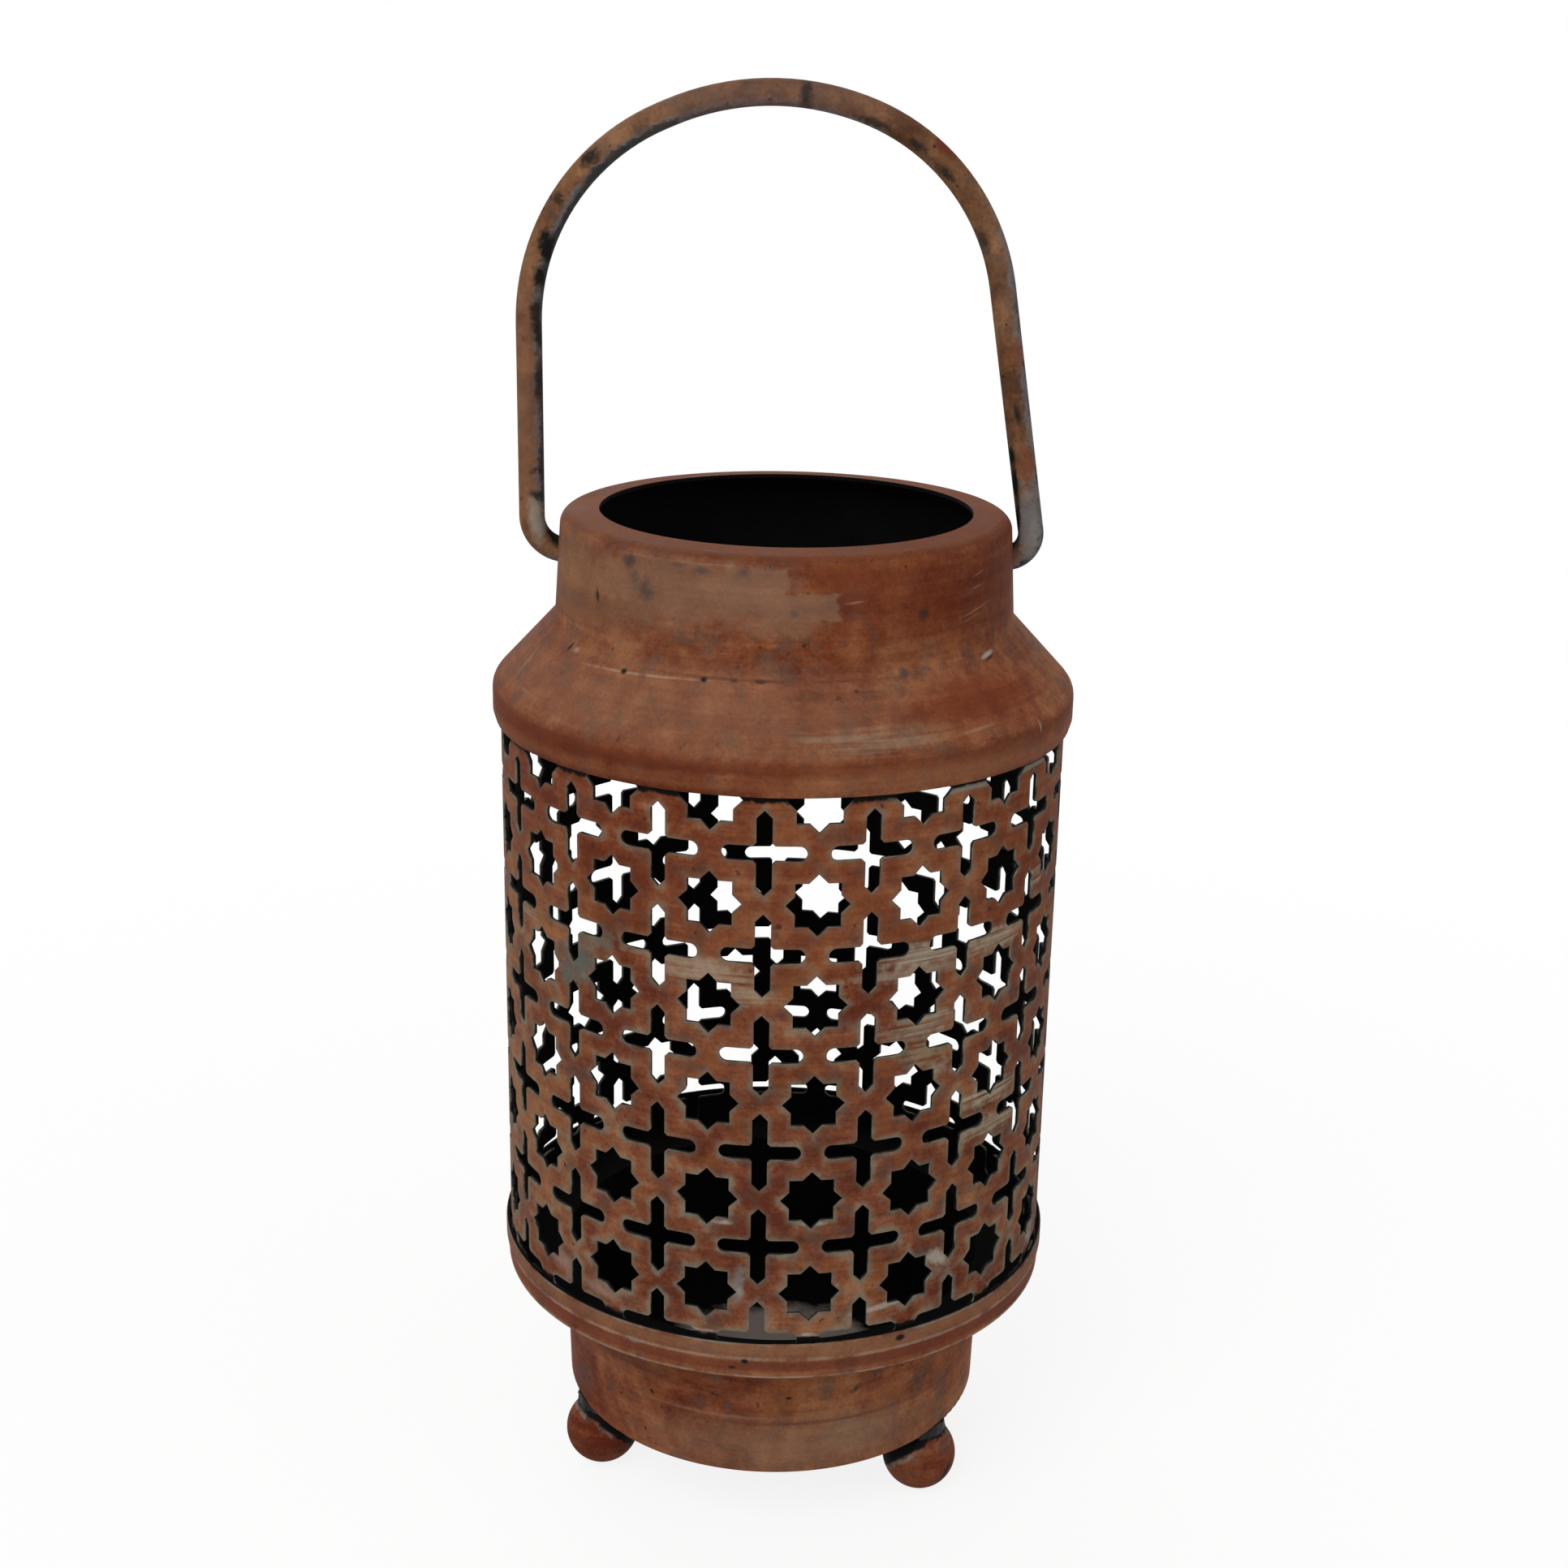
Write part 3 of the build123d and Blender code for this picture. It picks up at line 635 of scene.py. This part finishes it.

# Base: a pale worn line along the rim's ridge and the flange's edge, dark red painted shade in the cove
# between, tan low on the cup
basePatches = [
    dict(at=(0, 65.6), size=(allRound, 3.6), colour="#70503b", soft=0.4, ragged=0.8, strength=0.6),
    # painted shade: dark red in the cove between the rim's ridge and the flange's edge
    dict(at=(0, 61.2), size=(allRound, 3.4), colour="#5f2f20", soft=0.4, ragged=0.6, strength=0.75),
    dict(at=(0, 63.4), size=(allRound, 0.8), colour="#866f5e",
         soft=0.6, ragged=0.9, strength=0.75, broken=0.42),
    dict(at=(0, 58.3), size=(allRound, 0.8), colour="#836d5c",
         soft=0.5, ragged=0.7, strength=0.75, broken=0.42),
    dict(at=(0, 67.5), size=(allRound, 0.8), colour="#6d6a5d",
         soft=0.5, ragged=0.9, strength=0.7, broken=0.48),
    dict(at=(8, 27.0), size=(74, 15), colour="#775744", soft=0.7, ragged=0.9, strength=0.75),
    dict(at=(24, 30.0), size=(20, 9), colour="#7b614c", soft=0.6, ragged=0.8, strength=0.6),
    dict(at=(-52, 47.0), size=(46, 10), colour="#62402f", soft=0.7, strength=0.5),
    dict(at=(-14, 36.0), size=(40, 0.9), colour="#7f5d49", soft=0.6, ragged=0.8, strength=0.6),
    dict(at=(16, 34.5), size=(46, 0.8), colour="#5c3323", soft=0.6, ragged=0.8, strength=0.6),
    dict(at=(-5.1, 62.7), size=(1.5, 1.3), colour="#120f0e", soft=0.35, ragged=0.3),
    dict(at=(-7.6, 60.6), size=(1.7, 0.9), colour="#2a1a15", soft=0.4, ragged=0.3),
    dict(at=(26.0, 65.9), size=(2.2, 1.8), colour="#171211", soft=0.3, ragged=0.4),
    dict(at=(-28, 63.2), size=(2.4, 1.5), colour="#74695e", soft=0.5, ragged=0.4, strength=0.8),
    dict(at=(-14.7, 42.0), size=(3.6, 0.6), colour="#2b1b16", slope=-12, soft=0.5, ragged=0.3, strength=0.9),
    dict(at=(4.8, 42.1), size=(1.7, 0.8), colour="#141110", soft=0.4, ragged=0.3),
    dict(at=(23.0, 42.6), size=(3.2, 1.6), colour="#32251f", slope=30, soft=0.6, ragged=0.8, strength=0.85),
]
basePaint = terracotta("brushed terracotta paint on the base", radius=64.0, patches=basePatches)


def cupSide(centre, normal):   # 0 outside, 1 inside and on top
    return int(outwardness(centre, normal) < faceTurn["inward"] or normal.z > faceTurn["upward"])


def rimSide(centre, normal):   # 0 outside, 1 everywhere else: inside, and the top edge painted black as painted shade in the gap at the sheet's foot
    return int(outwardness(centre, normal) < faceTurn["rimOutward"])


dress(parts["base_cup"], [basePaint, dusty], cupSide)
dress(parts["base_rim"], [basePaint, black], rimSide)
print("base painted")

# Ball feet: the same paint, redder and thicker, burnt black round the weld and painted shadow of the cup's
# edge, with a grey smear below it
footUnder = {"edge": 55.2, "slope": 0.9}   # mm from the axis, mm down for each mm further in
footPatches = [   # heights are those at the cup's edge
    dict(at=(0, 3.0), size=(allRound, 9.0), colour="#4f2212", soft=0.8, ragged=0.6, strength=0.5),
    # burnt black round the weld, with the cup's shadow on the ball painted in along the cup's edge
    dict(at=(0, 19.2), size=(allRound, 6.4), colour="#0b0a0a", soft=0.12, ragged=0.9),
    dict(at=(0, 15.4), size=(allRound, 1.7), colour="#807a75", soft=0.5, ragged=0.9, broken=0.53),
    dict(at=(52.7, 4.2), size=(1.3, 4.6), colour="#1a1210", slope=-28, soft=0.5, ragged=1.0, strength=0.9),
]
footPaint = terracotta(
    "brushed terracotta paint on the ball feet", radius=50.0, patches=footPatches, under=footUnder)
feet = [1, 2, 3]
for number in feet:
    dress(parts["ball_foot_%d" % number], [footPaint])

# Weld beads: lumpy, burnt and never painted over, grey at the tips
weld = {
    "voxel": 0.35, "lump": 0.5, "lumpSize": 2.2,   # mm
    "finer": 0.4, "finerShare": 0.5,   # size and height of small lumps, as shares of the large ones
    "colour": "#0b0a0a", "scale": "#2c2a29", "scaleRange": (0.5, 0.72),
    "bump": 0.3, "bumpStrength": 0.7, "roughness": 0.6, "specular": 0.25,   # bump height in mm
}


def weldSteel():
    material, tree = newMaterial("burnt weld steel")
    place = paintPlace(tree)
    lumps = addNode(tree, "ShaderNodeTexNoise", {
        "Vector": place, "Scale": 1 / weld["lumpSize"], "Detail": 5.0})
    start, full = weld["scaleRange"]
    colour = addNode(tree, "ShaderNodeValToRGB", {0: lumps}, ramp=[
        (start, weld["colour"]), (full, weld["scale"])])
    bump = addNode(tree, "ShaderNodeBump", {
        "Strength": weld["bumpStrength"], "Distance": weld["bump"] * mm, "Height": lumps})
    bead = addNode(tree, "ShaderNodeBsdfPrincipled", {
        "Base Color": colour, "Roughness": weld["roughness"],
        "Specular IOR Level": weld["specular"], "Normal": bump})
    addNode(tree, "ShaderNodeOutputMaterial", {"Surface": bead}, out=None)
    return material


def layBead(number, material):
    node = "foot_weld_%d" % number
    draft = bpy.data.objects.new("draft", parts[node].data.copy())
    bpy.context.scene.collection.objects.link(draft)
    remesh = draft.modifiers.new("even", "REMESH")
    remesh.mode = "VOXEL"
    remesh.voxel_size = weld["voxel"] * mm
    mesh = bpy.data.meshes.new_from_object(draft.evaluated_get(bpy.context.evaluated_depsgraph_get()))
    bpy.data.objects.remove(draft)
    middle = sum((v.co for v in mesh.vertices), Vector()) / len(mesh.vertices)
    for v in mesh.vertices:
        away = (v.co - middle) * Vector((1, 1, 0))
        large = noise.noise(v.co / (weld["lumpSize"] * mm))
        small = noise.noise(v.co / (weld["finer"] * weld["lumpSize"] * mm))
        swell = large + weld["finerShare"] * small
        v.co += away.normalized() * swell * weld["lump"] * mm
    mesh.materials.clear()
    mesh.materials.append(material)
    for face in mesh.polygons:
        face.use_smooth = True
    bead = bpy.data.objects.new("weld_bead_%d" % number, mesh)
    bpy.context.scene.collection.objects.link(bead)
    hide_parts(node)
    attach(bead, "lantern")


beadSteel = weldSteel()
for number in feet:
    layBead(number, beadSteel)
print("feet painted, welds laid")

# Bail: round rod with thin brown paint, grey on its right and under sides as a painted sheen, chipped to
# black primer, near-black down the inner edges of the arms beside the neck.
# Places are mm to the right of the axis and mm up.
bailPaint = dict(
    shellPaint, deep="#4d3120", mid="#694831", pale="#7d5a3f", ochre="#774c30", fraySize=1.6, areaSize=30.0,
    strokeLength=9.0, strokeHeight=24.0, lineLength=3.0, lineHeight=9.0,
    speck="#141210", speckSize=3.4, speckRange=(0.66, 0.71))
bail = {
    # painted sheen: grey where the rod faces right and down
    "rub": "#626061", "sheenTowards": (0.74, -0.05, -0.66),
    "sheenFray": 0.5, "rubRange": (0.22, 0.45), "rubShare": 0.9,
    "under": "#252425", "underMottle": 1.6, "underRange": (1.3, 1.55), "underShare": 0.85,
}
bailPatches = [
    dict(at=(-6, 355.5), size=(62, 12), colour="#6b5044", soft=0.6, ragged=0.9, strength=0.5),
    dict(at=(-63.6, 284.0), size=(5.0, 70), colour="#73503a", soft=0.5, ragged=0.9, strength=0.6),
    dict(at=(-47.4, 340.9), size=(5, 2.8), colour="#191816", slope=40, soft=0.5, ragged=1.7, strength=0.9),
    dict(at=(-57.8, 320.8), size=(3.4, 6.5), colour="#141312", soft=0.4, ragged=1.5),
    dict(at=(-59.6, 313.4), size=(2.6, 4.6), colour="#171514", soft=0.5, ragged=1.5),
    dict(at=(-60.6, 305.0), size=(2.2, 5.5), colour="#1e1b19", soft=0.5, ragged=1.6, strength=0.9),
    dict(at=(-60.0, 299.2), size=(2.0, 6.0), colour="#1c1918", soft=0.5, ragged=1.6, strength=0.9),
    dict(at=(-60.4, 288.2), size=(1.6, 6.5), colour="#211d1a", soft=0.5, ragged=1.6, strength=0.85),
    dict(at=(-55.2, 331.5), size=(2.6, 2.2), colour="#241d18", soft=0.5, ragged=1.6, strength=0.8),
    dict(at=(-61.5, 261.0), size=(3.4, 2.0), colour="#232325", slope=-30, soft=0.5, ragged=0.6, strength=0.9),
    dict(at=(-61.3, 254.9), size=(3.6, 10.0), colour="#897e70", slope=8, soft=0.4, ragged=0.8, strength=0.9),
    # near-black at the left arm's foot, beside the neck
    dict(at=(-57.2, 251.0), size=(2.4, 6.5), colour="#0e0d0d", slope=24, soft=0.4, ragged=0.7),
    dict(at=(2.8, 356.0), size=(2.6, 7.0), colour="#23211d", soft=0.6, ragged=1.7, strength=0.85),
    dict(at=(18.8, 350.0), size=(6.5, 1.8), colour="#242120", slope=-18, soft=0.5, ragged=1.6, strength=0.8),
    dict(at=(29.0, 345.2), size=(4.0, 1.8), colour="#1f1d1c", slope=-28, soft=0.5, ragged=1.6, strength=0.8),
    dict(at=(35.6, 339.4), size=(6.0, 1.9), colour="#1a1a19", slope=-45, soft=0.5, ragged=1.6, strength=0.85),
    dict(at=(45.4, 323.6), size=(2.4, 5.0), colour="#221e1a", slope=26, soft=0.6, ragged=0.9, strength=0.8),
    dict(at=(35.6, 345.4), size=(5.6, 3.4), colour="#5e2d20", slope=-42, soft=0.3, ragged=0.5),
    dict(at=(55.0, 297.4), size=(2.4, 7.0), colour="#6a3c2e", slope=8, soft=0.5, ragged=0.6, strength=0.8),
    dict(at=(55.3, 283.2), size=(1.5, 5.6), colour="#1f1a15", slope=14, soft=0.5, ragged=0.5, strength=0.9),
    dict(at=(58.6, 271.0), size=(3.6, 9.0), colour="#663a26", slope=6, soft=0.4, ragged=0.6, strength=0.85),
    dict(at=(59.6, 255.8), size=(7.0, 19.0), colour="#6b6866",
         slope=4, soft=0.35, ragged=1.3, strength=0.85, broken=0.4),
    dict(at=(59.2, 259.0), size=(2.0, 5.0), colour="#5a5a5f", slope=4, soft=0.7, ragged=0.9, strength=0.6),
    # near-black strips down the right arm's inner edge, beside the neck
    dict(at=(54.6, 272.4), size=(1.5, 4.6), colour="#100f0e", slope=8, soft=0.4, ragged=0.6),
    dict(at=(55.8, 265.8), size=(1.3, 9.0), colour="#0e0d0d", slope=8, soft=0.4, ragged=0.6),
    dict(at=(56.8, 256.0), size=(1.4, 12.0), colour="#0c0b0b", slope=2, soft=0.4, ragged=0.6),
    dict(at=(55.6, 250.6), size=(2.0, 5.0), colour="#0b0a0a", slope=-24, soft=0.4, ragged=0.5),
]


def brownRod():
    material, tree = newMaterial("thin brown paint on the bail")
    place = paintPlace(tree)
    axes = addNode(tree, "ShaderNodeSeparateXYZ", {0: place}, out=None).outputs
    colour, weave = paintBase(tree, bailPaint, place)
    # painted sheen: grey on the faces turned right and down
    facing = addNode(tree, "ShaderNodeTexCoord", out="Normal")
    turned = addNode(tree, "ShaderNodeVectorMath", {
        0: facing, 1: bail["sheenTowards"]}, out=1, operation="DOT_PRODUCT")
    rub = addNode(tree, "ShaderNodeMath", {
        0: weave["fray"], 1: bail["sheenFray"], 2: turned}, operation="MULTIPLY_ADD")
    colour = lay(tree, colour, bail["rub"], rub, bail["rubRange"], bail["rubShare"])
    under = addNode(tree, "ShaderNodeMath", {
        0: weave["mottle"], 1: bail["underMottle"], 2: rub}, operation="MULTIPLY_ADD")
    colour = lay(tree, colour, bail["under"], under, bail["underRange"], bail["underShare"])
    colour = smudges(tree, bailPaint, place, colour)
    flat = unroll(tree, axes[0], axes[2], 1.0)
    colour = addPatches(tree, colour, bailPatches, flat, 1.0, weave)
    paintSkin(tree, bailPaint, colour, weave)
    return material


dress(parts["bail_handle"], [brownRod()])
print("bail painted")

bpy.context.scene.view_settings.view_transform = "Standard"
